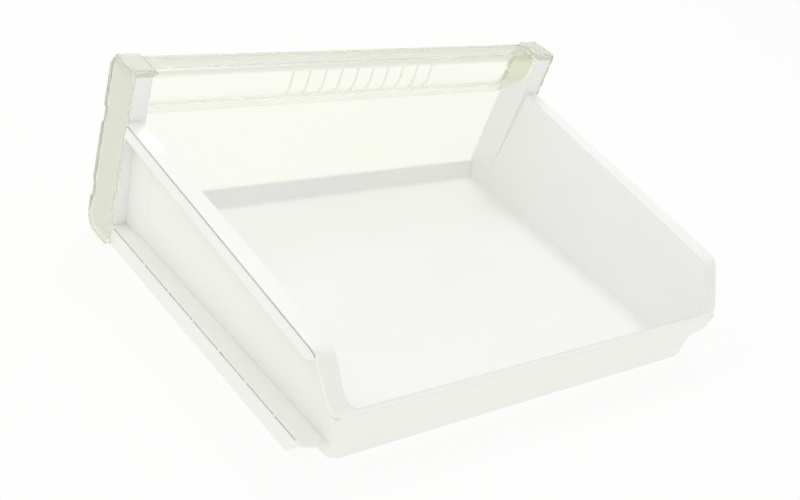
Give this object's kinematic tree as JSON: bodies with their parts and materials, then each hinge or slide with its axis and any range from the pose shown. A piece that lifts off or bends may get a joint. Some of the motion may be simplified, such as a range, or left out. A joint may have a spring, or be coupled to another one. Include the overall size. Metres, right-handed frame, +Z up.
{
  "type": "freezer drawer",
  "caption": "Open freezer drawer with sloping side walls, outward rim and runners, and a clear clip-on front cover with a full-width grip channel.",
  "frame": {"origin": "under the middle of the drawer, level with its lowest edge", "axes": "+X across the drawer, -Y the front with the clear cover, +Z up"},
  "size_m": [0.43, 0.295, 0.1455],
  "materials": {
    "white_plastic": "smooth moulded, slightly translucent",
    "clear_plastic": "clear with a faint cream tint"
  },
  "bodies": {
    "root": {"drawer_body": "white_plastic", "front_cover": "clear_plastic"}
  },
  "joints": []
}
